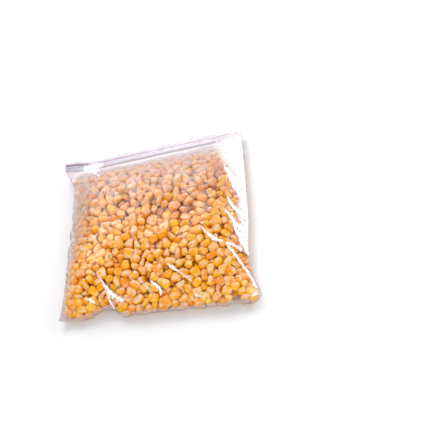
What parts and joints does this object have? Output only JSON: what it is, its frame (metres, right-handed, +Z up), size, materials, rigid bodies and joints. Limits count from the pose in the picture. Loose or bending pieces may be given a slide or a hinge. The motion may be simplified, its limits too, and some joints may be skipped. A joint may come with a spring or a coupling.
{
  "type": "freezer bag of sweetcorn",
  "caption": "Clear press-to-close freezer bag filled with loose frozen sweetcorn kernels, sealed and lying flat, with a ribbed zip across the mouth.",
  "frame": {"origin": "middle of the bag's underside, on the surface it rests on", "axes": "+Y from the bottom seam to the mouth, +Z up out of the front ply, +X to the right for someone who faces the mouth"},
  "size_m": [0.1788, 0.2012, 0.0301],
  "materials": {
    "filled_film": "clear glossy film over yellow-orange sweetcorn kernels",
    "blue_strip": "translucent pale blue-grey plastic, satin",
    "mauve_strip": "translucent mauve plastic, satin",
    "clear_film": "clear film, slightly milky, glossy"
  },
  "bodies": {
    "root": {"filled_pouch": "filled_film", "zip_strip_inner": "blue_strip", "zip_strip_outer": "mauve_strip", "mouth_lip": "clear_film"}
  },
  "joints": []
}
